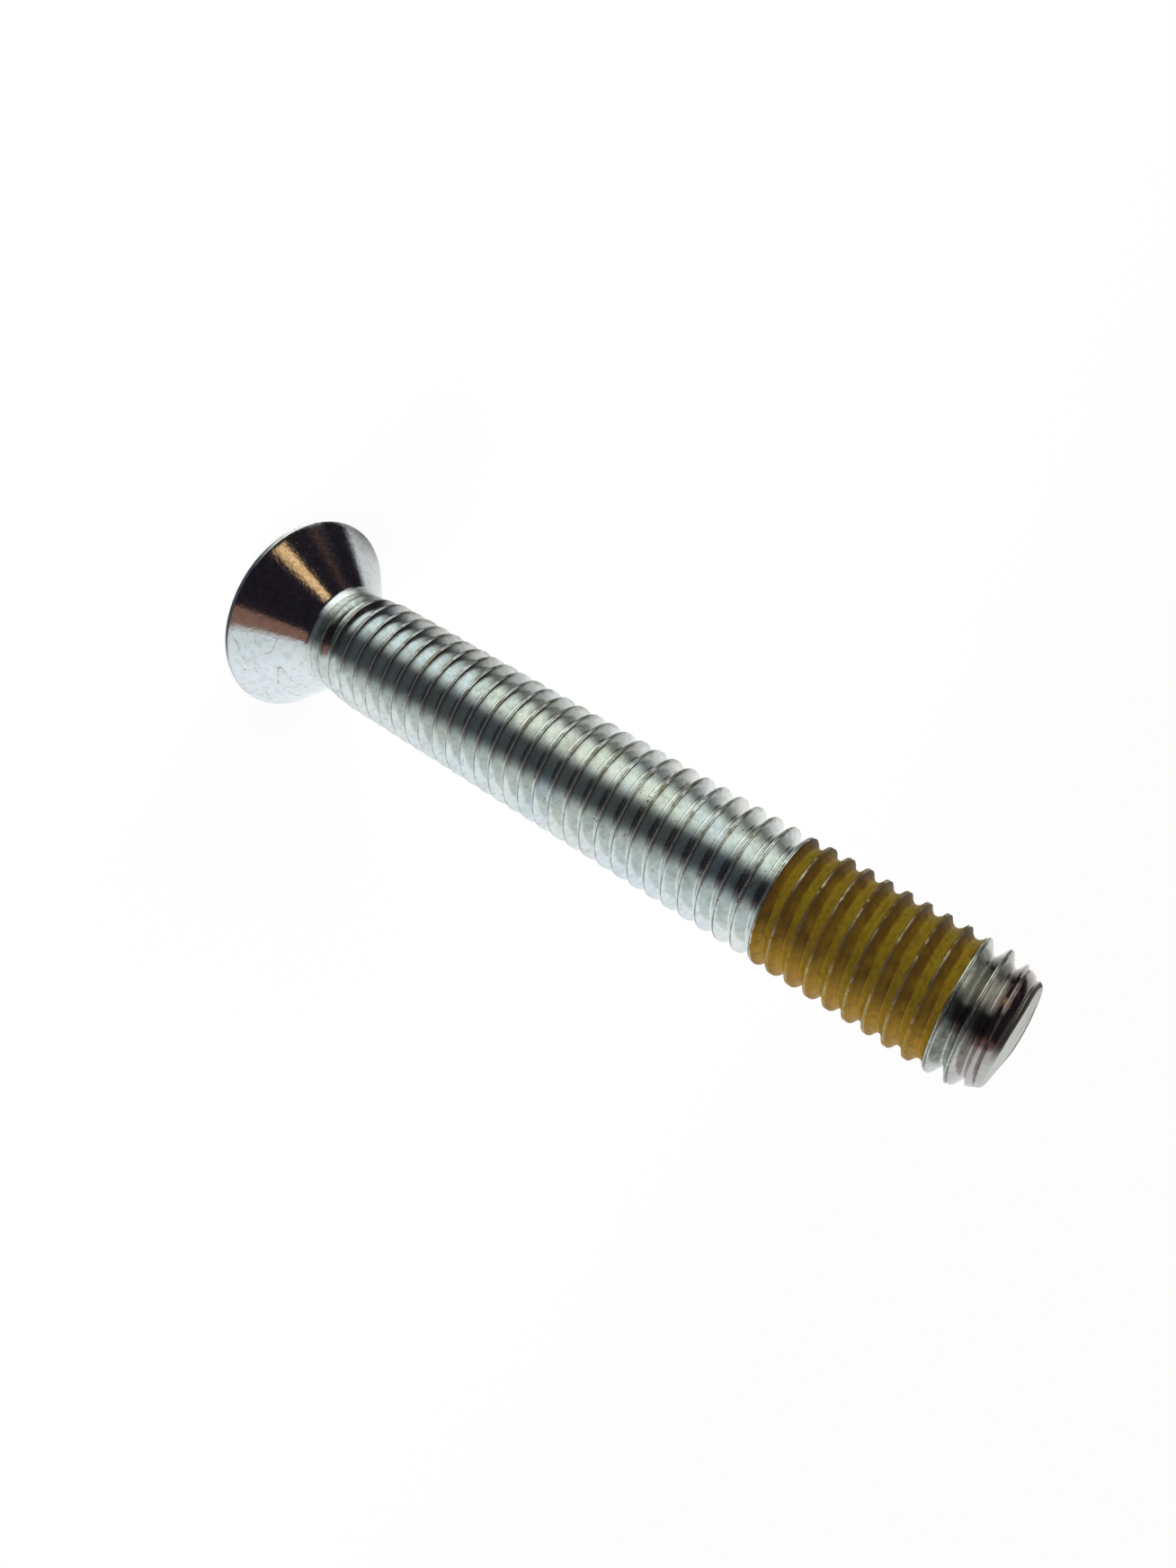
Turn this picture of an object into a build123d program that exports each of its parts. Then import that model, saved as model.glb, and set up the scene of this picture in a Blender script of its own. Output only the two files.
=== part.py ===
from build123d import *
import math
import os

# Flat head socket cap screw, 1/2-13 UNC by 3-1/2 in, with an 82 degree countersunk head.
# Frame: the origin is the centre of the head's flat top face, and +Z runs along the axis to the tip,
# so the screw stands on its head. Millimetres throughout.

# Thread: one right-handed start, rolled
nominal_diameter = 12.7
thread_pitch = 1.9538  # 13 threads to the inch
thread_angle = 60.0  # between the flanks
depth_share = 0.75  # of the sharp triangle's height
crest_allowance = 0.08  # by which the crests' diameter is under the nominal one
crest_flat = 0.32
runout_length = 4.3  # from the thread's start to where crest and root have their full form
crest_lead = 5.31  # from the thread's start to where one crest passes over +X
thread_steps = 24  # flat steps in one turn

# Head and neck
head_diameter = 22.54
head_land = 0.45  # upright rim between the flat face and the cone
head_angle = 82.0  # included angle of the cone
neck_fillet = 1.6  # between the cone and the neck
neck_length = 0.26  # plain neck from the fillet to the thread's start

# Hexagon socket in the head's flat face
socket_across_flats = 7.94  # 5/16 in key
socket_depth = 4.5  # straight walls, to the edge of the drilled bottom
socket_point_angle = 118.0
socket_chamfer = 0.12  # by which the 45 degree mouth clears the hexagon's corners

# Shank and tip
screw_length = 88.1  # over all, head included
tip_diameter = 10.0  # flat end face
tip_angle = 50.0  # included angle of the point's chamfer

# Allowances of the construction, none of which shows on the finished screw
crest_clearance = 0.4  # the trimming cap's radius over the crests
neck_step = 0.1  # from the neck's end to the thread's start, so that the rod is inside the neck there
overlap = 0.5  # how far the rod reaches down into the neck

# Sizes that follow from those above
half_thread_angle = math.radians(thread_angle / 2)
thread_depth = depth_share * thread_pitch / 2 / math.tan(half_thread_angle)
flank_width = thread_depth * math.tan(half_thread_angle)
root_flat = thread_pitch - crest_flat - 2 * flank_width
major_radius = (nominal_diameter - crest_allowance) / 2
root_radius = major_radius - thread_depth
neck_radius = (nominal_diameter - thread_depth) / 2  # the blank's, half the pitch diameter
head_radius = head_diameter / 2
head_height = head_land + (head_radius - neck_radius) / math.tan(math.radians(head_angle / 2))
fillet_reach = neck_fillet * math.tan(math.radians(head_angle / 4))
thread_start = head_height + fillet_reach + neck_length
neck_end = thread_start - neck_step
rod_bottom = neck_end - overlap
tip_radius = tip_diameter / 2
tip_slope = math.tan(math.radians(tip_angle / 2))
cap_radius = major_radius + crest_clearance
cap_shoulder = screw_length - (cap_radius - tip_radius) / tip_slope
socket_radius = socket_across_flats / 2
socket_mouth = socket_radius / math.cos(math.radians(30)) + socket_chamfer
socket_point = socket_radius / math.tan(math.radians(socket_point_angle / 2))


def threaded_rod(bottom, top):
    """A rod of bare thread that reaches past both heights, sewn from flat steps of the ridge's sides.

    Crests and roots leave the neck's radius at the thread's start and reach their own over the run-out.
    Below the start both shrink, so that the rod stays inside the neck.
    """
    half_crest = crest_flat / 2
    half_foot = half_crest + flank_width
    ridge = [
        (root_radius, -half_foot - root_flat),
        (root_radius, -half_foot),
        (major_radius, -half_crest),
        (major_radius, half_crest),
        (root_radius, half_foot),
    ]
    crest_over_x = thread_start + crest_lead
    first = crest_over_x - thread_pitch * (math.ceil((crest_over_x - bottom) / thread_pitch) + 1)
    turns = math.ceil((top - first) / thread_pitch) + 1

    lines = []
    for full_radius, rise in ridge:
        line = []
        for step in range(turns * thread_steps + 1):
            turn = step / thread_steps
            height = first + rise + turn * thread_pitch
            growth = min((height - thread_start) / runout_length, 1)
            if full_radius < neck_radius:
                growth = abs(growth)
            radius = neck_radius + (full_radius - neck_radius) * growth
            line.append(Vector(radius, 0, height).rotate(Axis.Z, 360 * turn))
        lines.append(line)

    faces = []
    for low, high in zip(lines, lines[1:]):
        for a, b, c, d in zip(low, low[1:], high, high[1:]):
            faces.append(Face(Wire.make_polygon([a, b, d])))
            faces.append(Face(Wire.make_polygon([a, d, c])))

    # Each open end is closed by a fan from the axis to one turn of root and the ridge's profile
    low_rim = lines[0][: thread_steps + 1] + [line[0] for line in lines[3:0:-1]]
    high_rim = lines[-1][-thread_steps - 1 :] + [line[-1] for line in lines[3:0:-1]]
    for rim in (low_rim, high_rim):
        middle = Vector(0, 0, rim[0].Z)
        for a, b in zip(rim, rim[1:] + rim[:1]):
            faces.append(Face(Wire.make_polygon([middle, a, b])))
    return Solid(Shell(faces))


with BuildPart() as thread:
    add(threaded_rod(rod_bottom, screw_length))

    # A cap trims both ends level, and the crests run out on the point's chamfer
    with BuildSketch(Plane.XZ):
        with BuildLine():
            Polyline(
                (0, rod_bottom),
                (cap_radius, rod_bottom),
                (cap_radius, cap_shoulder),
                (tip_radius, screw_length),
                (0, screw_length),
                close=True,
            )
        make_face()
    revolve(axis=Axis.Z, mode=Mode.INTERSECT)

with BuildPart() as screw:
    # Head and plain neck
    with BuildSketch(Plane.XZ) as blank:
        with BuildLine():
            Polyline(
                (0, 0),
                (head_radius, 0),
                (head_radius, head_land),
                (neck_radius, head_height),
                (neck_radius, neck_end),
                (0, neck_end),
                close=True,
            )
        make_face()
        neck_corner = blank.vertices().sort_by_distance((neck_radius, head_height))[0]
        fillet(neck_corner, radius=neck_fillet)
    revolve(axis=Axis.Z)

    # Hexagon socket with a drilled bottom and a chamfered mouth
    with BuildSketch(Plane.XY):
        RegularPolygon(radius=socket_radius, side_count=6, major_radius=False)
    extrude(amount=socket_depth, mode=Mode.SUBTRACT)
    with BuildSketch(Plane.XZ):
        with BuildLine():
            Polyline(
                (0, 0),
                (socket_mouth, 0),
                (socket_radius, socket_mouth - socket_radius),
                (socket_radius, socket_depth),
                (0, socket_depth + socket_point),
                close=True,
            )
        make_face()
    revolve(axis=Axis.Z, mode=Mode.SUBTRACT)

    add(thread.part)

screw.part.label = "screw"

os.makedirs("parts", exist_ok=True)
export_step(screw.part, "parts/screw.step")
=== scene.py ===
import math

import bpy
from mathutils import Matrix, Vector, noise


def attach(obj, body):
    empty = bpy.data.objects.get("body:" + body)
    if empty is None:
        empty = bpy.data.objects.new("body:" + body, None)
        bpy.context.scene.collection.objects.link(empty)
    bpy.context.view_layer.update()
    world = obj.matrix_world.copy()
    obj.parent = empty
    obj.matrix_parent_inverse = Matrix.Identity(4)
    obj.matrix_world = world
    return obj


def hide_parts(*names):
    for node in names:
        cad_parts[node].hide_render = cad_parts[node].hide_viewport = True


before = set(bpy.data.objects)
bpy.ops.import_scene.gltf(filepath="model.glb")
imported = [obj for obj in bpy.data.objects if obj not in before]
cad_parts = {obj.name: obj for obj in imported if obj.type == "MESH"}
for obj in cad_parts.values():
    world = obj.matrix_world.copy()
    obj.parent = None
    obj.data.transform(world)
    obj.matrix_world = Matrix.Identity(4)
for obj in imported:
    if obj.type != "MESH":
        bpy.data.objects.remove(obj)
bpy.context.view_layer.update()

MM = 0.001

# The screw, in millimetres: the axis is Z, the head's flat face is at 0 and the tip is up.
# A profile point is (radius, height), and a rounding is a list of offsets from its corner.
HEAD_RADIUS = 11.26
HEAD_LAND = 0.45  # upright rim between the flat face and the cone
HEAD_ANGLE = math.radians(41.0)  # from the axis to the cone
LAND_BREAK = 0.05  # how far inside the rim the cone ends
LAND_ROUNDING = [(-0.01, -0.01), (0, -0.06)]
FACE_LIFT = 0.001  # a micron clear of the floor
FACE_ROUNDING = [(0, 0.1), (-0.03, 0.03), (-0.1, FACE_LIFT)]
FACE_RINGS = (9, 7, 5, 3, 1)

NECK_RADIUS = 5.715
NECK_FILLET = 1.6
CONE_TOP = HEAD_LAND + (HEAD_RADIUS - NECK_RADIUS) / math.tan(HEAD_ANGLE)

THREAD_START = CONE_TOP + 0.86
RUNOUT = 4.3
PITCH = 1.9538
MAJOR_RADIUS = 6.31
CREST_OVER_X = THREAD_START + 5.31  # where a crest's middle passes over +X
FLANK_ANGLE = math.radians(30.0)
CREST_HALF = 0.16
CREST_ROUNDING = [(0.028, -0.172), (0.006, -0.13), (0, -0.06)]  # (depth, rise from its middle)
CREST_SEAM = [(0.008, -0.012), (0.045, 0.012), (0.008, 0.036)]
ROOT_ROUND = 0.2
ROD_BOTTOM = THREAD_START - 0.15  # the rod of thread is a little longer than its visible part
ROD_TOP_SPARE = 0.5

TIP_HEIGHT = 88.1
TIP_RADIUS = 5.0
TIP_ANGLE = math.radians(25.0)
TIP_ROUNDING = [(0.12, -0.26), (0.02, -0.1), (-0.14, -0.02), (-0.4, 0)]
TIP_RINGS = (4.2, 3.8, 3.2, 2.4, 1.6, 0.8, 0)
SLUMP_DEPTH = 0.4

# The cleft along the crest, where the point's chamfer cuts it
CLEFT_FROM = 84.4
CLEFT_FULL = 85.6
CLEFT_HALF = 0.19
CLEFT_DEPTH = 0.3
CLEFT_INNER = 5.5

SOCKET_FLATS = 7.94
SOCKET_DEPTH = 4.5
SOCKET_CHAMFER = 0.12  # by which the mouth clears the hexagon's corners
SOCKET_POINT = math.radians(59.0)  # from the axis to the drilled bottom

# The band of thread-locking coat, from one crest to another, counted up from the one over +X
COAT_FIRST = 27
COAT_LAST = 36
COAT_LOW = CREST_OVER_X + (COAT_FIRST - 0.75) * PITCH
COAT_HIGH = CREST_OVER_X + (COAT_LAST + 0.25) * PITCH
COAT_SPARE = 1.5  # extra length at each end, which is tucked under the steel
COAT_TUCK = 0.9

# Thickness of the coat over the steel, by distance along the axis from the crest's middle
COAT_FILM = [
    (0, 0.0),
    (0.05, 0.003),
    (0.1, 0.035),
    (0.18, 0.065),
    (0.28, 0.08),
    (0.4, 0.1),
    (0.52, 0.17),
    (0.64, 0.28),
    (0.76, 0.42),
    (0.87, 0.53),
    (0.977, 0.57),
]

ROUND_STEPS = 72  # steps in one turn of any round shape
FINE_STEPS = 144
FILLET_STEPS = 8
CONE_STEPS = 16
WELD = 0.002  # points nearer than this are one
SMOOTH_ANGLE = math.radians(35.0)  # sharper edges than this stay crisp

BACKDROP = (0.98, 0.98, 0.975)


# ---------------------------------------------------------------- modelling


def drop_selection():
    if bpy.context.object and bpy.context.object.mode != "OBJECT":
        bpy.ops.object.mode_set(mode="OBJECT")
    bpy.ops.object.select_all(action="DESELECT")


def make_active(piece):
    drop_selection()
    piece.select_set(True)
    bpy.context.view_layer.objects.active = piece


def draw_profile(name, points):
    """A chain of edges through profile points on the +X side, drawn by extruding one vertex."""
    drop_selection()
    bpy.ops.mesh.primitive_plane_add(size=MM, location=(0, 0, 0))
    piece = bpy.context.object
    piece.name = name
    bpy.ops.object.mode_set(mode="EDIT")
    bpy.ops.mesh.select_mode(type="VERT")
    bpy.ops.mesh.merge(type="CENTER")
    radius, height = points[0]
    bpy.ops.transform.translate(value=(radius * MM, 0, height * MM))
    for (r0, h0), (r1, h1) in zip(points, points[1:]):
        step = ((r1 - r0) * MM, 0, (h1 - h0) * MM)
        bpy.ops.mesh.extrude_region_move(TRANSFORM_OT_translate={"value": step})
    bpy.ops.object.mode_set(mode="OBJECT")
    return piece


def modify(piece, kind, **settings):
    """Adds a modifier and applies it."""
    make_active(piece)
    modifier = piece.modifiers.new(kind.title(), kind)
    for key, value in settings.items():
        setattr(modifier, key, value)
    bpy.ops.object.modifier_apply(modifier=modifier.name)
    return piece


def weight(piece, function):
    """A vertex group whose weight is a function of each point, in millimetres."""
    group = piece.vertex_groups.new(name="pull")
    for vertex in piece.data.vertices:
        group.add([vertex.index], min(max(function(vertex.co / MM), 0), 1), "REPLACE")
    return group.name


def pull_to(piece, radius, function):
    """Moves points towards a cylinder's radius, by a share that is a function of each point."""
    modify(
        piece,
        "CAST",
        cast_type="CYLINDER",
        factor=1,
        size=radius * MM,
        use_radius_as_size=False,
        use_z=False,
        vertex_group=weight(piece, function),
    )
    piece.vertex_groups.clear()


def sink(piece, function):
    """Moves points towards the axis by so many millimetres, a function of each point."""
    core = 1.0

    def share(point):
        return function(point) / max(math.hypot(point.x, point.y) - core, 0.1)

    pull_to(piece, core, share)


def ease(value, low, high):
    """0 at low, 1 at high and smooth between."""
    share = min(max((value - low) / (high - low), 0), 1)
    return share * share * (3 - 2 * share)


def turn_from_front(point):
    """Turns from -Y towards +X, from -0.5 to 0.5."""
    return math.atan2(point.x, -point.y) / math.tau


def crest_count(point):
    """How many crests lie below a point. The count jumps at the back, on +Y."""
    return (point.z - CREST_OVER_X) / PITCH + 0.25 - turn_from_front(point)


def from_crest(point):
    """Distance in pitches from the nearest crest's middle, negative on its head side."""
    count = crest_count(point)
    return count - round(count)


def flank_radius(rise):
    """The flank's radius at a distance along the axis from the crest's middle."""
    return MAJOR_RADIUS - (abs(rise) - CREST_HALF) / math.tan(FLANK_ANGLE)


def thread_profile():
    """One pitch of the thread from root to root, as (radius, rise from the crest's middle)."""
    apex = flank_radius(PITCH / 2)
    middle = apex + ROOT_ROUND / math.sin(FLANK_ANGLE)
    root = []
    for degrees in (0, 20, 40, 60):
        a = math.radians(degrees)
        root.append((middle - ROOT_ROUND * math.cos(a), -PITCH / 2 + ROOT_ROUND * math.sin(a)))
    foot = root[-1][1]
    flank = [(flank_radius(x), x) for x in (foot + 0.06, -0.27, -0.20)]
    low = root + flank + [(MAJOR_RADIUS - depth, x) for depth, x in CREST_ROUNDING]
    high = [(r, -x) for r, x in reversed(low)]
    return low + [(MAJOR_RADIUS - depth, x) for depth, x in CREST_SEAM] + high


def cut_level(piece, height, keep_above):
    """Cuts a mesh in edit mode at a height and selects the cut's open edges."""
    bpy.ops.mesh.select_mode(type="EDGE")
    bpy.ops.mesh.select_all(action="SELECT")
    bpy.ops.mesh.bisect(
        plane_co=(0, 0, height * MM),
        plane_no=(0, 0, 1),
        threshold=0.0001 * MM,
        clear_inner=keep_above,
        clear_outer=not keep_above,
    )
    bpy.ops.mesh.select_all(action="DESELECT")
    bpy.ops.mesh.select_non_manifold(extend=False)
    bpy.ops.object.mode_set(mode="OBJECT")
    points = piece.data.vertices
    for edge in piece.data.edges:
        if edge.select:
            edge.select = all(abs(points[i].co.z / MM - height) < 0.001 for i in edge.vertices)
    bpy.ops.object.mode_set(mode="EDIT")


def draw_out(stations, radius, height):
    """Extrudes the selected level rim through (radius, height) stations."""
    for next_radius, next_height in stations:
        rise = (0, 0, (next_height - height) * MM)
        bpy.ops.mesh.extrude_edges_move(TRANSFORM_OT_translate={"value": rise})
        scale = next_radius / radius
        bpy.ops.transform.resize(value=(scale, scale, 1), center_override=(0, 0, 0))
        radius, height = next_radius, next_height


def threaded_rod(name, profile, bottom, top, steps=ROUND_STEPS, closed=False):
    """A rod of thread between two level ends. The lower one stays open unless the rod is closed."""
    first = CREST_OVER_X - PITCH * (math.ceil((CREST_OVER_X - bottom) / PITCH) + 1)
    turns = math.ceil((top - first) / PITCH) + 2
    rod = draw_profile(name, [(r, first + x) for r, x in profile])
    modify(
        rod,
        "SCREW",
        angle=math.tau,
        screw_offset=PITCH * MM,
        iterations=turns,
        steps=steps,
        render_steps=steps,
        use_smooth_shade=True,
    )
    bpy.ops.object.mode_set(mode="EDIT")
    bpy.ops.mesh.select_all(action="SELECT")
    bpy.ops.mesh.remove_doubles(threshold=WELD * MM)
    cut_level(rod, top, keep_above=False)
    bpy.ops.mesh.extrude_edges_move()
    bpy.ops.mesh.merge(type="CENTER")
    cut_level(rod, bottom, keep_above=True)
    if closed:
        bpy.ops.mesh.extrude_edges_move()
        bpy.ops.mesh.merge(type="CENTER")
        bpy.ops.mesh.select_all(action="SELECT")
        bpy.ops.mesh.normals_make_consistent(inside=False)
    bpy.ops.object.mode_set(mode="OBJECT")
    return rod


def lathe(name, points, steps=ROUND_STEPS):
    """A closed body of revolution from a chain that starts and ends on the axis."""
    piece = draw_profile(name, points)
    bpy.ops.object.mode_set(mode="EDIT")
    bpy.ops.mesh.select_all(action="SELECT")
    bpy.ops.mesh.spin(steps=steps, angle=math.tau, center=(0, 0, 0), axis=(0, 0, 1))
    bpy.ops.mesh.select_all(action="SELECT")
    bpy.ops.mesh.remove_doubles(threshold=WELD * MM)
    bpy.ops.mesh.normals_make_consistent(inside=False)
    bpy.ops.object.mode_set(mode="OBJECT")
    return piece


def combine(piece, other, operation):
    modify(piece, "BOOLEAN", object=other, operation=operation, solver="MANIFOLD")
    bpy.data.objects.remove(other)
    return piece


def cleft(p):
    """How deep the cleft is that the chamfer leaves along the crest, between its two lips."""
    rise = abs(from_crest(p)) * PITCH
    radius = math.hypot(p.x, p.y)
    if p.z < CLEFT_FROM or rise > CLEFT_HALF or radius < CLEFT_INNER:
        return 0
    chamfer = TIP_RADIUS + (TIP_HEIGHT - p.z) * math.tan(TIP_ANGLE)
    bottom = chamfer - CLEFT_DEPTH + 1.2 * rise + 0.12 * noise.noise(p * 0.9)
    return max(radius - bottom, 0) * ease(p.z, CLEFT_FROM, CLEFT_FULL)


def head_stations():
    """The neck's fillet, the cone, the land and the flat face, from the thread's start down."""
    tangent = NECK_FILLET * math.tan(HEAD_ANGLE / 2)
    stations = []
    for part in range(FILLET_STEPS + 1):
        a = HEAD_ANGLE * part / FILLET_STEPS
        radius = NECK_RADIUS + NECK_FILLET * (1 - math.cos(a))
        stations.append((radius, CONE_TOP + tangent - NECK_FILLET * math.sin(a)))
    r0, h0 = stations[-1]
    r1, h1 = HEAD_RADIUS - LAND_BREAK, HEAD_LAND + LAND_BREAK / math.tan(HEAD_ANGLE)
    for part in range(1, CONE_STEPS + 1):
        stations.append((r0 + (r1 - r0) * part / CONE_STEPS, h0 + (h1 - h0) * part / CONE_STEPS))
    stations += [(HEAD_RADIUS + out, HEAD_LAND + up) for out, up in LAND_ROUNDING]
    stations += [(HEAD_RADIUS + out, up) for out, up in FACE_ROUNDING]
    stations += [(radius, FACE_LIFT) for radius in FACE_RINGS]
    return stations


def slump(p):
    """The share by which a point of the end face lies low, as the face is crowned and uneven."""
    back = (TIP_RADIUS + p.y) / TIP_RADIUS / 2
    sides = 0.64 * (p.x / TIP_RADIUS) ** 2
    front = 0.16 * (1 - back)
    corner = 0.36 * back * ease(p.x, 0.5, 4)
    uneven = 0.2 * (1 + noise.noise(p * 0.35)) * (1 - 0.8 * back)
    return (sides + front + corner + uneven) * ease(p.z, TIP_HEIGHT - 0.6, TIP_HEIGHT - 0.2)


def make_cap():
    """The body that the screw is trimmed to: roomy all round, with the point's chamfer and end."""
    room = 1
    wide = HEAD_RADIUS + room
    narrow = MAJOR_RADIUS + room
    shoulder = TIP_HEIGHT - (narrow - TIP_RADIUS) / math.tan(TIP_ANGLE)
    sides = [(0, -room), (wide, -room), (wide, 20), (narrow, 30), (narrow, shoulder)]
    rim = [(TIP_RADIUS + out, TIP_HEIGHT + up) for out, up in TIP_ROUNDING]
    face = [(radius, TIP_HEIGHT) for radius in TIP_RINGS]
    cap = lathe("cap", sides + rim + face, FINE_STEPS)
    low = weight(cap, slump)
    depth = -SLUMP_DEPTH * MM
    return modify(cap, "DISPLACE", direction="Z", mid_level=0, strength=depth, vertex_group=low)


def make_key():
    """What the hexagon socket is: a hexagon bar with a drill point and a flared root."""
    outside = 1  # how far it reaches out of the socket
    apothem = SOCKET_FLATS / 2
    corner = apothem / math.cos(math.radians(30))
    drop_selection()
    bpy.ops.mesh.primitive_cylinder_add(
        vertices=6, radius=corner * MM, depth=(SOCKET_DEPTH + outside) * MM, location=(0, 0, 0)
    )
    key = bpy.context.object
    bpy.ops.object.mode_set(mode="EDIT")
    bpy.ops.mesh.select_all(action="SELECT")
    bpy.ops.transform.translate(value=(0, 0, (SOCKET_DEPTH - outside) / 2 * MM))
    bpy.ops.object.mode_set(mode="OBJECT")
    mouth = corner + SOCKET_CHAMFER
    drill = [
        (0, -outside),
        (mouth + outside, -outside),
        (apothem, mouth - apothem),
        (apothem, SOCKET_DEPTH),
        (0, SOCKET_DEPTH + apothem / math.tan(SOCKET_POINT)),
    ]
    return combine(key, lathe("drill", drill), "UNION")


def make_screw():
    top = TIP_HEIGHT + ROD_TOP_SPARE
    screw = threaded_rod("flat_head_cap_screw", thread_profile(), ROD_BOTTOM, top)
    pull_to(screw, NECK_RADIUS, lambda p: 1 - (p.z - THREAD_START) / RUNOUT)
    sink(screw, cleft)

    # The open lower edge is drawn out into the neck and the head
    make_active(screw)
    bpy.ops.object.mode_set(mode="EDIT")
    bpy.ops.mesh.select_mode(type="EDGE")
    bpy.ops.mesh.select_all(action="DESELECT")
    bpy.ops.mesh.select_non_manifold(extend=False)
    draw_out(head_stations(), NECK_RADIUS, ROD_BOTTOM)
    bpy.ops.mesh.edge_face_add()
    bpy.ops.mesh.select_all(action="SELECT")
    bpy.ops.mesh.normals_make_consistent(inside=False)
    bpy.ops.object.mode_set(mode="OBJECT")

    combine(screw, make_cap(), "INTERSECT")
    return combine(screw, make_key(), "DIFFERENCE")


def coat_profile():
    """One pitch of the coat's surface from root to root, given as the thread's is."""
    low = []
    for rise, film in reversed(COAT_FILM):
        steel = min(flank_radius(rise), MAJOR_RADIUS)
        steel = max(steel, flank_radius(PITCH / 2) + ROOT_ROUND)
        low.append((steel + film, -rise))
    low[0] = (low[0][0], -PITCH / 2)
    high = [(r, -x) for r, x in reversed(low[:-1])]
    return low + high


def lumps(p):
    """How far the coat's surface lies low, in millimetres."""
    wide = noise.noise(p * 0.55)
    fine = noise.noise(p * 1.7 + Vector((9, 3, 5)))
    return 0.012 + 0.02 * wide + 0.035 * fine


def beyond_coat(p):
    """0 between the two crests where the coat ends, 1 past them, with ragged edges."""
    turn = turn_from_front(p)
    drift = 2 * math.copysign(max(abs(turn) - 0.25, 0), turn)  # closes each edge round the back
    count = crest_count(p) + drift + 0.05 * noise.noise(p * 0.8)
    past_first = ease(count, COAT_FIRST, COAT_FIRST + 0.07)
    before_last = ease(count, COAT_LAST - 0.04, COAT_LAST - 0.12)
    return 1 - past_first * before_last


def make_coat():
    """The dried coat: a skin that fills nine valleys and leaves the crests almost bare."""
    bottom, top = COAT_LOW - COAT_SPARE, COAT_HIGH + COAT_SPARE
    coat = threaded_rod("thread_lock_coat", coat_profile(), bottom, top, FINE_STEPS, closed=True)
    sink(coat, lumps)
    sink(coat, lambda p: COAT_TUCK * beyond_coat(p))
    steel = threaded_rod("steel", thread_profile(), bottom - 1, top + 1, closed=True)
    return combine(coat, steel, "DIFFERENCE")


# ---------------------------------------------------------------- finishes


class Signal:
    """An output socket of a material or world. Arithmetic on it adds Math nodes."""

    def __init__(self, finish, socket):
        self.finish = finish
        self.socket = socket

    def maths(self, operation, *values):
        inputs = dict(enumerate(values))
        return self.finish.node("ShaderNodeMath", {"operation": operation}, inputs)

    def __add__(self, other):
        return self.maths("ADD", self, other)

    def __radd__(self, other):
        return self.maths("ADD", other, self)

    def __sub__(self, other):
        return self.maths("SUBTRACT", self, other)

    def __rsub__(self, other):
        return self.maths("SUBTRACT", other, self)

    def __mul__(self, other):
        return self.maths("MULTIPLY", self, other)

    def __rmul__(self, other):
        return self.maths("MULTIPLY", other, self)

    def __truediv__(self, other):
        return self.maths("DIVIDE", self, other)

    def __rtruediv__(self, other):
        return self.maths("DIVIDE", other, self)

    def __abs__(self):
        return self.maths("ABSOLUTE", self)

    def larger(self, other):
        return self.maths("MAXIMUM", self, other)

    def square_root(self):
        return self.maths("SQRT", self)


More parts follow.
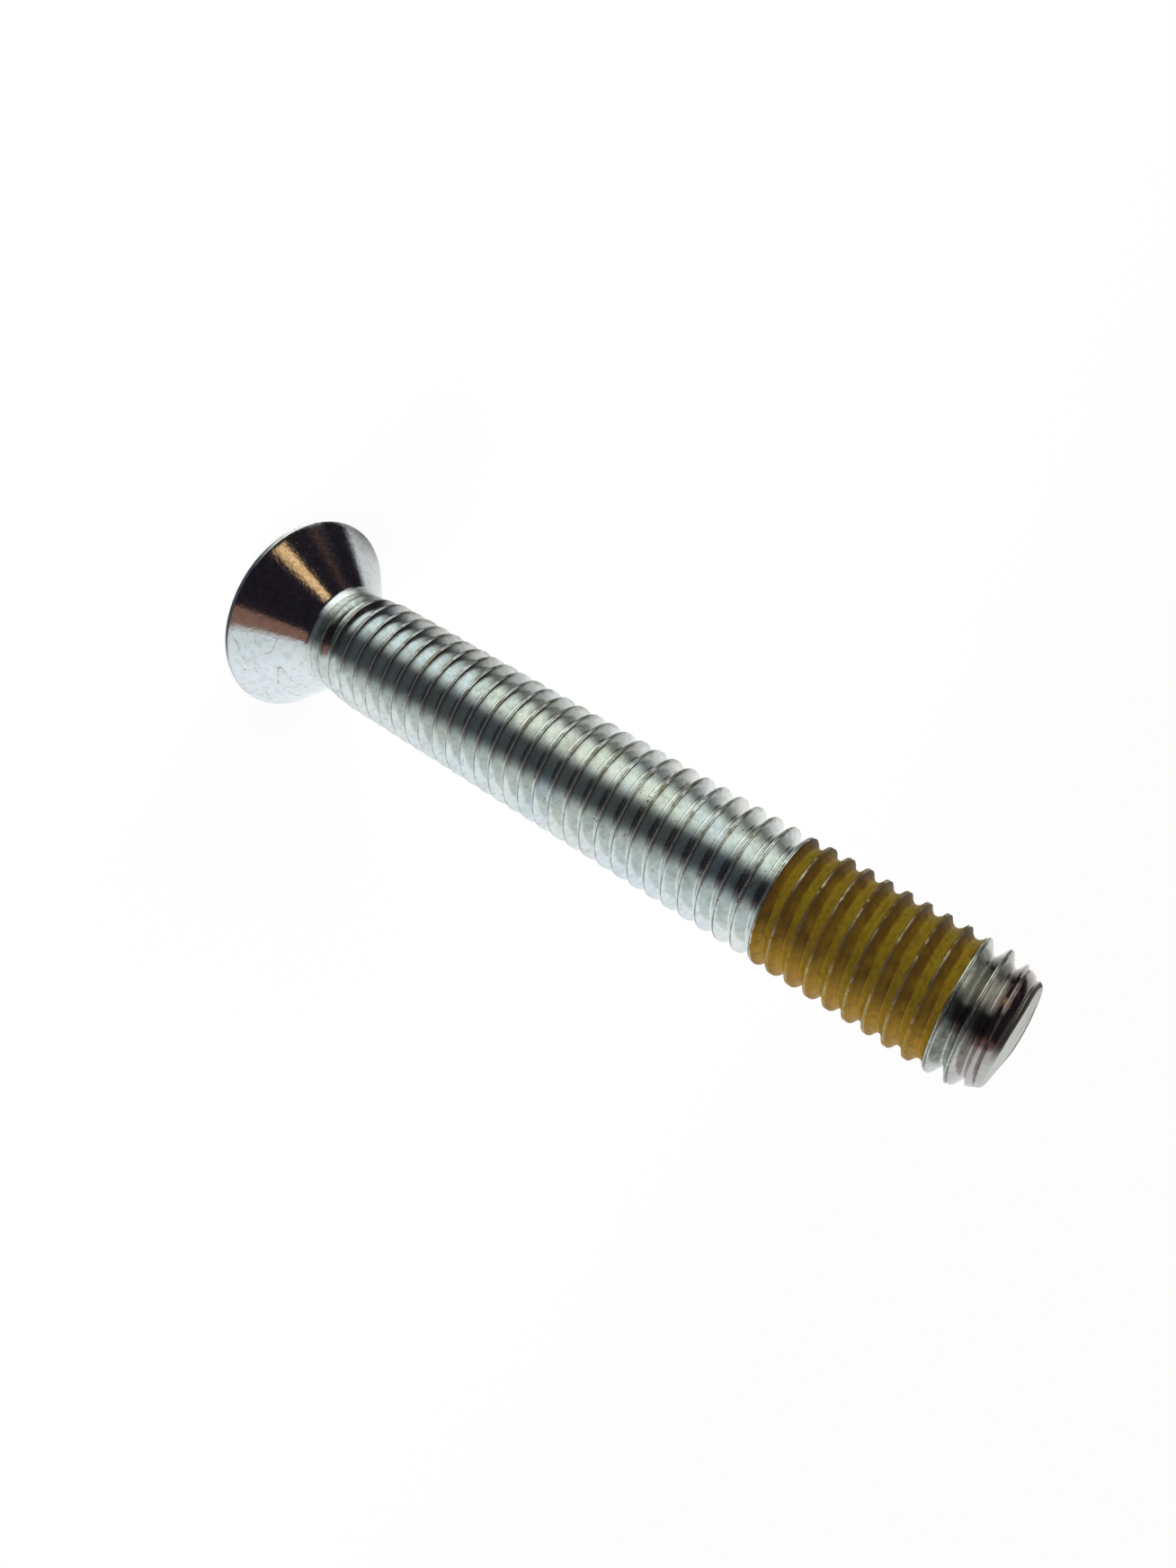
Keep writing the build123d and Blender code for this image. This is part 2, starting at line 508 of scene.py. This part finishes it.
class Finish:
    """The node tree of a material or a world."""

    def __init__(self, owner):
        owner.use_nodes = True
        self.tree = owner.node_tree
        self.tree.nodes.clear()

    def node(self, kind, settings=None, inputs=None, output=0):
        """Makes a node: its settings first, then the values or links of its sockets."""
        made = self.tree.nodes.new(kind)
        for key, value in (settings or {}).items():
            setattr(made, key, value)
        for key, value in (inputs or {}).items():
            if isinstance(value, Signal):
                self.tree.links.new(value.socket, made.inputs[key])
            elif isinstance(value, tuple) and made.inputs[key].type == "RGBA":
                made.inputs[key].default_value = (*value, 1)
            else:
                made.inputs[key].default_value = value
        return Signal(self, made.outputs[output]) if made.outputs else made

    def blend(self, mask, low, high):
        """A colour between two, by a mask."""
        inputs = {"Factor": mask, 6: low, 7: high}
        return self.node("ShaderNodeMix", {"data_type": "RGBA"}, inputs, 2)

    def mix(self, mask, low, high):
        """A shader between two, by a mask."""
        return self.node("ShaderNodeMixShader", None, {0: mask, 1: low, 2: high})

    def glow(self, colour):
        return self.node("ShaderNodeEmission", None, {"Color": colour, "Strength": 1.0})

    def principled(self, inputs):
        return self.node("ShaderNodeBsdfPrincipled", None, inputs)

    def bump(self, height, distance):
        inputs = {"Strength": 1.0, "Distance": distance * MM, "Height": height}
        return self.node("ShaderNodeBump", None, inputs)

    def ease(self, value, low, high, unit=1):
        """0 below low, 1 above high and smooth between. Low may be the greater."""
        start, end = min(low, high) * unit, max(low, high) * unit
        inputs = {"Value": value, "From Min": start, "From Max": end}
        if low > high:
            inputs.update({"To Min": 1.0, "To Max": 0.0})
        return self.node("ShaderNodeMapRange", {"interpolation_type": "SMOOTHSTEP"}, inputs)

    def band(self, value, start, full, fading, end, unit=1):
        """1 between full and fading, 0 outside start and end, and smooth between."""
        return self.ease(value, start, full, unit) * self.ease(value, end, fading, unit)

    def coordinates(self):
        """Object coordinates, in metres."""
        return self.node("ShaderNodeTexCoord", output=3)

    def axes(self, vector):
        split = self.tree.nodes.new("ShaderNodeSeparateXYZ")
        self.tree.links.new(vector.socket, split.inputs[0])
        return [Signal(self, out) for out in split.outputs]

    def grain(self, scale, detail=3, roughness=0.55, stretch=None, shift=None, turn=None):
        """Noise from 0 to 1 with so many waves to a millimetre, over coordinates moved by shift."""
        place = self.coordinates()
        if stretch or shift:
            shift = tuple(value * MM for value in shift or (0, 0, 0))
            inputs = {"Vector": place, "Location": shift}
            inputs.update({"Rotation": turn or (0, 0, 0), "Scale": stretch or (1, 1, 1)})
            place = self.node("ShaderNodeMapping", None, inputs)
        inputs = {"Scale": scale / MM, "Detail": detail, "Roughness": roughness, "Vector": place}
        return self.node("ShaderNodeTexNoise", None, inputs)

    def spot(self, place, size):
        """1 at a place in millimetres, fading to 0 at a distance."""
        inputs = {0: self.coordinates(), 1: tuple(value * MM for value in place)}
        away = self.node("ShaderNodeVectorMath", {"operation": "DISTANCE"}, inputs, 1)
        return self.ease(away, size, 0.3 * size, MM)

    def thread_phase(self):
        """Distance in pitches from the nearest crest's middle: 0 on a crest, 0.5 in a root."""
        x, y, z = self.axes(self.coordinates())
        turn = y.maths("ARCTAN2", y, x) / math.tau
        wave = z / (PITCH * MM) - CREST_OVER_X / PITCH - turn
        return wave.maths("FRACT", wave + 0.5) - 0.5


# Colours of the zinc plate and its dirt, with painted shade and a painted reflection among them
FILM_GREEN = (0.745, 0.78, 0.762)
FILM_STRAW = (0.76, 0.78, 0.735)
FILM_BLUE = (0.715, 0.76, 0.785)
FILM_HEAD = (0.77, 0.79, 0.80)
SCUFFED = (0.47, 0.49, 0.49)
CLOUDED = (0.52, 0.54, 0.52)
GRIME = (0.17, 0.13, 0.07)
CREST_EDGE = (0.25, 0.225, 0.14)
# Painted shade of the neck
NECK_PAINTED_SHADE = (0.30, 0.31, 0.27)
BROWN_FLECK = (0.22, 0.13, 0.05)
PIT = (0.12, 0.12, 0.12)
STAINED_CREST = (0.62, 0.52, 0.33)
SMOKE = (0.33, 0.315, 0.27)
RUST = (0.30, 0.13, 0.03)
# Purplish brown of the last turns: partly a stain, partly a painted reflection
PURPLISH_STAIN_AND_REFLECTION = (0.50, 0.43, 0.42)
END_FACE = (0.53, 0.51, 0.455)
HEAD_GRAIN = (0.33, 0.30, 0.29)
SCRATCH = (0.2, 0.2, 0.2)
SEAM_DIRT = (0.10, 0.088, 0.074)
RIM_DIRT = (0.022, 0.018, 0.017)

# Places on the steel, in millimetres
LAST_TURNS = (84.6, 86.4)  # heights over which the last turns change colour
NICK = (-1.92, -5.7, 18.15)
RUST_SPOT = (3.5, -4.35, 86.2)


def zinc_plate():
    """Bright zinc plate with a clear film: rolling lines, scuffs, dirty crest seams, dull spots."""
    material = bpy.data.materials.new("zinc_plated_steel")
    f = Finish(material)
    x, y, z = f.axes(f.coordinates())
    away = abs(f.thread_phase())
    head = f.ease(z, CONE_TOP + 0.5, CONE_TOP - 0.5, MM)
    thread = f.ease(z, CONE_TOP + 0.45, CONE_TOP + 0.9, MM)
    tip = f.ease(z, *LAST_TURNS, MM)

    # The film: green-grey on the thread with bluish and straw patches, more neutral on the head
    straw = f.ease(f.grain(0.13, 2), 0.42, 0.62)
    film = f.blend(straw, FILM_GREEN, FILM_STRAW)
    bluish = f.ease(f.grain(0.2, 2, stretch=(1, 1, 0.6), shift=(31, 17, 5)), 0.5, 0.66)
    film = f.blend(bluish, film, FILM_BLUE)
    colour = f.blend(head, film, FILM_HEAD)
    mottle = f.grain(1.3, 4, 0.65)
    patchy = f.ease(mottle, 0.35, 0.6)
    colour = f.blend(f.ease(mottle, 0.44, 0.7) * 0.5, colour, SCUFFED)
    cloud = f.ease(f.grain(0.45, 3, 0.6, shift=(5, 50, 2)), 0.48, 0.66)
    colour = f.blend(cloud * 0.35 * (1 - head), colour, CLOUDED)

    # Dirt in patches of the roots and along the crests, and painted shade round the neck
    patches = f.ease(f.grain(0.16, 3, 0.6, stretch=(1, 1, 0.5), shift=(3, 40, 11)), 0.56, 0.66)
    grime = f.ease(away, 0.3, 0.45) * patches * thread * f.ease(x, 3, -4, MM) * (1 - tip)
    colour = f.blend(grime * 0.7, colour, GRIME)
    edge = f.ease(away, 0.2, 0.05) * f.ease(x, 1, -2, MM) * thread * (1 - tip)
    edge = edge * f.ease(f.grain(0.5, 4, 0.7, shift=(20, 4, 61)), 0.44, 0.6)
    colour = f.blend(edge * 0.85, colour, CREST_EDGE)
    # Painted shade round the neck, where the thread starts: uneven, and darkest towards -X
    neck = f.band(z, CONE_TOP + 0.5, CONE_TOP + 0.75, 8.8, 12, MM)
    neck = neck * (0.25 + 0.75 * f.ease(x, 3, 0.5, MM))
    colour = f.blend(neck * (0.45 + 0.4 * f.ease(mottle, 0.4, 0.6)), colour, NECK_PAINTED_SHADE)

    # The crest's seam and the line where the thread starts are full of dirt
    broken = f.grain(0.9, 4, 0.6)
    seam = f.ease(away, 0.06, 0.022) * thread * (0.35 + 0.65 * f.ease(broken, 0.35, 0.55))
    start = abs(z - (CONE_TOP + 0.6 + 0.12 * (broken - 0.5)) * MM)
    seam = seam.larger(f.ease(start, 0.06, 0.02, MM))
    nick = f.spot(NICK, 0.32)
    seam = seam * (1 - 0.45 * tip) * (1 - 0.2 * f.ease(x, 1, 4.5, MM)) * (1 - nick)

    # Brown flecks and dark pits
    flecks = f.ease(f.grain(1.6, 3, 0.6, shift=(7, 7, 7)), 0.64, 0.72)
    flecks = flecks * f.ease(f.grain(0.12, 2, shift=(60, 2, 9)), 0.5, 0.62) * (1 - head)
    colour = f.blend(flecks * 0.8, colour, BROWN_FLECK)
    pits = f.ease(f.grain(2.6, 2, 0.5, shift=(1, 5, 90)), 0.7, 0.76)
    colour = f.blend(pits * 0.7, colour, PIT)

    # Crests that show through the thread-locking coat
    coated = f.band(z, COAT_LOW + 1.0, COAT_LOW + 1.6, COAT_HIGH - 1.8, COAT_HIGH - 1.2, MM)
    colour = f.blend(coated * 0.8, colour, STAINED_CREST)

    # The last turns: smoky from the thread-locking coat on, then purplish brown, partly a stain and
    # partly a painted reflection of brownish surroundings
    smoke = f.ease(z, COAT_HIGH - 3, COAT_HIGH, MM)
    colour = f.blend(smoke * (0.5 + 0.35 * patchy), colour, SMOKE)
    colour = f.blend(f.spot(RUST_SPOT, 0.42) * 0.9, colour, RUST)
    colour = f.blend(tip * (0.35 + 0.5 * patchy), colour, PURPLISH_STAIN_AND_REFLECTION)

    # The end face, with a ragged dark edge that is wider at the back
    end = f.ease(z, TIP_HEIGHT - 0.75, TIP_HEIGHT - 0.5, MM)
    colour = f.blend(end * 0.8, colour, END_FACE)
    ragged = (x * x + y * y).square_root() + 0.35 * MM * (mottle - 0.5)
    ragged = ragged + 1.2 * MM * f.ease(y, 0.5, 4.0, MM)
    rim = f.ease(ragged, TIP_RADIUS - 0.35, TIP_RADIUS - 0.12, MM) * end * f.ease(x, 3, 1, MM)

    # Grains of the plating, and scratches on the head's +X side
    grains = f.ease(f.grain(2.2, 4, 0.75), 0.42, 0.62)
    grains = grains * head * f.ease(x, 4, 0, MM) * f.ease(y, 1, -4, MM)
    colour = f.blend(grains * 0.5, colour, HEAD_GRAIN)
    scored = f.grain(0.28, 1, 0.3, stretch=(1, 0.35, 2.2), shift=(11, 3, 0), turn=(0.3, 0.2, 0.7))
    scratch = f.ease(abs(scored - 0.5), 0.013, 0.004) * f.ease(f.grain(0.8, 3, 0.7), 0.46, 0.56)
    scratch = scratch * head * f.ease(x, 1.5, 5, MM)
    colour = f.blend(scratch * 0.6, colour, SCRATCH)

    # Rolling lines along the thread and fine grain on the head
    lines = f.grain(1.6, 4, 0.65, stretch=(0.25, 0.25, 3))
    fine = f.grain(2.4, 3, 0.6)
    roughness = 0.08 + 0.06 * fine * head + (0.05 + 0.12 * mottle) * (1 - head) * (1 - 0.3 * tip)
    roughness = roughness + 0.2 * end + 0.35 * grime + 0.3 * flecks + 0.3 * scratch
    height = 2.2 * fine * head + lines * (1 - head) * 0.8 - 0.8 * pits - 0.5 * scratch - 5 * nick
    plate = f.principled(
        {
            "Base Color": colour,
            "Metallic": 1 - 0.5 * grime,
            "Roughness": roughness,
            "Normal": f.bump(height, 0.007),
        }
    )
    soil = f.blend(rim, SEAM_DIRT, RIM_DIRT)
    dirt = f.principled({"Base Color": soil, "Roughness": 0.9, "Specular IOR Level": 0.1})
    soiled = (seam * 0.75).larger(rim * 0.85)
    f.node("ShaderNodeOutputMaterial", None, {"Surface": f.mix(soiled, plate, dirt)})
    return material


# Colours of the thread-locking coat, with its painted light and painted shade
COAT_BROWN = (0.072, 0.037, 0.005)
COAT_TAN = (0.112, 0.063, 0.006)
COAT_OLIVE = (0.235, 0.172, 0.007)
COAT_YELLOW = (0.25, 0.158, 0.008)
# Painted shade beside the crests
COAT_CREST_SHADE = (0.040, 0.024, 0.008)
# Painted light on the coat's +X side
COAT_PAINTED_LIGHT_ORANGE = (0.33, 0.185, 0.012)
COAT_MOTTLE = (0.045, 0.024, 0.004)


def amber_coat():
    """Dried coat: olive yellow where it is thick in the roots and as painted light, brown and a
    mere film on the flanks, with painted shade beside the crests.
    """
    material = bpy.data.materials.new("thread_lock_coat")
    f = Finish(material)
    x = f.axes(f.coordinates())[0]
    phase = f.thread_phase()
    cloud = f.grain(0.5, 3, 0.55)
    side = phase + 0.1 * (cloud - 0.5)
    head_side = f.ease(side, -0.05, -0.13)  # thick from the root up the flank that faces the head
    root = f.ease(side, 0.34, 0.49)
    # Painted light: the yellow spreads wider on the -X side, where light falls from the upper left
    painted_lit_side = f.ease(x, 2, -2.5, MM)
    deep = (root * painted_lit_side).larger(head_side * (0.5 + 0.5 * painted_lit_side))
    brown = f.blend(f.ease(cloud, 0.38, 0.62), COAT_BROWN, COAT_TAN)
    yellow = f.blend(f.ease(f.grain(0.35, 3), 0.4, 0.6), COAT_OLIVE, COAT_YELLOW)
    colour = f.blend(deep, brown, yellow)
    crest_shade = f.band(phase, 0.02, 0.07, 0.1, 0.28)  # painted shade beside each crest, on the side that faces the tip
    colour = f.blend(crest_shade * 0.6, colour, COAT_CREST_SHADE)
    # Painted light: orange on the +X side, where brighter light falls from the right
    colour = f.blend(f.ease(x, 1.8, 5.4, MM) * 0.75, colour, COAT_PAINTED_LIGHT_ORANGE)
    colour = f.blend(f.ease(f.grain(1.5, 4, 0.65), 0.44, 0.68) * 0.38, colour, COAT_MOTTLE)
    waves = f.grain(1.6, 4, 0.6)
    coat = f.principled(
        {
            "Base Color": colour,
            "Roughness": 0.42 + 0.2 * waves,
            "Specular IOR Level": 0.15,
            "Normal": f.bump(waves, 0.03),
        }
    )
    f.node("ShaderNodeOutputMaterial", None, {"Surface": coat})
    return material


def finish_piece(piece, material):
    piece.data.materials.clear()
    piece.data.materials.append(material)
    make_active(piece)
    bpy.ops.object.shade_smooth_by_angle(angle=SMOOTH_ANGLE)
    drop_selection()
    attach(piece, "root")


# ---------------------------------------------------------------- studio

# What bright metal shows around it. Turns are in degrees from -Y towards +X, and heights are
# the sine of the angle above the horizon.
GAP_DARK = (0.015, 0.0125, 0.018)
GAP_NEAR = (0.072, 0.087, 0.095)
LOW_LEFT = (0.19, 0.20, 0.19)
STREAK_BROWN = (0.085, 0.05, 0.042)
STREAK_GOLD = (1.1, 0.72, 0.36)
STREAK_RED = (0.23, 0.125, 0.095)
WINDOW = (1.36, 1.45, 1.36)
RIGHT_WALL = (0.72, 0.785, 0.79)
BACK_WALL = (0.93, 0.99, 1.01)
LEFT_WALL = (0.70, 0.71, 0.71)
LEFT_BACK_WALL = (0.97, 0.98, 0.97)
WALL_TOP = (0.1, 0.1, 0.1)
OVERHEAD = (0.03, 0.03, 0.034)

FLOOR_SIZE = 8  # metres
FLOOR_COLOUR = (0.9, 0.9, 0.89)
MIDDLE_HEIGHT = 0.045  # half the screw's, from where a place on the floor is a direction


def surroundings(f, x, y, height):
    """The studio's colour in a direction: a dark gap in front and pale panels around it."""
    turn = x.maths("ARCTAN2", x, y * -1) * (180 / math.pi)
    low = f.ease(height, 0.04, -0.12)
    colour = f.blend(f.ease(height, -0.25, -0.42), GAP_DARK, GAP_NEAR)
    colour = f.blend(f.ease(turn, -60, -90) * low, colour, LOW_LEFT)

    # Streaks above: brown at the left, gold beside it and red-brown at the right
    above = f.band(height, 0.1, 0.3, 0.68, 0.8)
    brown = f.band(turn, -98, -90, -88, -80)
    colour = f.blend(brown * above * 0.7, colour, STREAK_BROWN)
    gold = f.band(turn, -61, -53, -47, -39)
    colour = f.blend(gold * above * f.band(height, 0.46, 0.52, 0.61, 0.67), colour, STREAK_GOLD)
    colour = f.blend(f.ease(turn, 27, 37) * above, colour, STREAK_RED)

    # The window at the left, low down
    window = f.band(turn, -104, -68, -48, -9) * f.ease(height, 0.3, 0.12)
    colour = f.blend(window, colour, WINDOW)

    # Pale walls at the right and behind
    wall = f.blend(f.ease(turn, 55, 110), RIGHT_WALL, BACK_WALL)
    colour = f.blend(f.ease(turn, 48, 61), colour, wall)
    colour = f.blend(f.ease(turn, 29, 67) * low, colour, wall)
    wall = f.blend(f.ease(turn, -124, -157), LEFT_WALL, LEFT_BACK_WALL)
    wall = f.blend(f.ease(height, 0.05, 0.75) * 0.6, wall, WALL_TOP)
    colour = f.blend(f.ease(turn, -121, -133), colour, wall)
    colour = f.blend(f.ease(turn, -98, -134) * low, colour, wall)

    # Straight above it is dark, where the camera's stand reaches over
    return f.blend(f.ease(height, 0.84, 0.97), colour, OVERHEAD)


def make_floor():
    """A white floor. Bright metal mirrors the surroundings in it instead."""
    drop_selection()
    bpy.ops.mesh.primitive_plane_add(size=FLOOR_SIZE, location=(0, 0, 0))
    floor = bpy.context.object
    floor.name = "floor"
    material = bpy.data.materials.new("pale_floor")
    f = Finish(material)
    x, y, _ = f.axes(f.coordinates())
    away = (x * x + y * y).square_root()
    matt = f.node("ShaderNodeBsdfDiffuse", None, {"Color": FLOOR_COLOUR})
    white = f.glow(f.blend(f.ease(away, 0.1, 0.7), (1, 1, 1), BACKDROP))
    shaded = f.mix(0.88 + 0.12 * f.ease(away, 0.05, 0.2), matt, white)  # shows a faint shadow
    camera_ray = f.node("ShaderNodeLightPath", output=0)
    lit = f.mix(camera_ray, matt, shaded)
    height = -MIDDLE_HEIGHT / (away * away + MIDDLE_HEIGHT * MIDDLE_HEIGHT).square_root()
    mirrored = f.glow(surroundings(f, x, y, height))
    glossy_ray = f.node("ShaderNodeLightPath", output=3)
    surface = f.mix(glossy_ray, lit, mirrored)
    f.node("ShaderNodeOutputMaterial", None, {"Surface": surface})
    floor.data.materials.append(material)


def make_world():
    world = bpy.data.worlds.new("light_tent")
    bpy.context.scene.world = world
    f = Finish(world)
    x, y, z = f.axes(f.node("ShaderNodeTexCoord", output=0))
    camera_ray = f.node("ShaderNodeLightPath", output=0)
    colour = f.blend(camera_ray, surroundings(f, x, y, z), BACKDROP)
    sky = f.node("ShaderNodeBackground", None, {"Color": colour, "Strength": 1.0})
    f.node("ShaderNodeOutputWorld", None, {"Surface": sky})


def aimed(place, aim):
    return (Vector(aim) - Vector(place)).to_track_quat("-Z", "Y")


def make_lamp(name, place, size, colour):
    """A soft lamp for the matt surfaces. Bright metal shows the panels around instead."""
    lamp = bpy.data.lights.new(name, "AREA")
    lamp.shape = "RECTANGLE"
    lamp.size, lamp.size_y = size
    lamp.energy = 6.0
    lamp.color = colour
    holder = bpy.data.objects.new(name, lamp)
    bpy.context.collection.objects.link(holder)
    holder.location = place
    holder.rotation_euler = aimed(place, (0, 0, 0.04)).to_euler()
    holder.visible_glossy = False


def make_camera():
    """Looks at the screw's middle from 26 degrees above, rolled so that it lies across the view."""
    camera = bpy.data.cameras.new("camera")
    camera.sensor_width = 36
    camera.lens = 28.343
    camera.clip_start = 0.001
    holder = bpy.data.objects.new("camera", camera)
    bpy.context.collection.objects.link(holder)
    holder.location = (0, -0.110294, 0.095999)
    level = aimed(holder.location, (0.000111, 0, 0.04202))
    roll = Matrix.Rotation(math.radians(120.971), 4, "Z")
    holder.rotation_euler = (level.to_matrix().to_4x4() @ roll).to_euler()
    bpy.context.scene.camera = holder


screw = make_screw()
coat = make_coat()
finish_piece(screw, zinc_plate())
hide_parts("screw")
finish_piece(coat, amber_coat())

make_floor()
make_world()
make_lamp("left_lamp", (-0.5, -0.2, 0.65), (1.0, 0.3), (1, 1, 0.95))
make_lamp("right_lamp", (0.7, -0.3, 0.45), (1.2, 0.4), (0.97, 0.98, 1))
make_camera()

scene = bpy.context.scene
scene.view_settings.view_transform = "Standard"
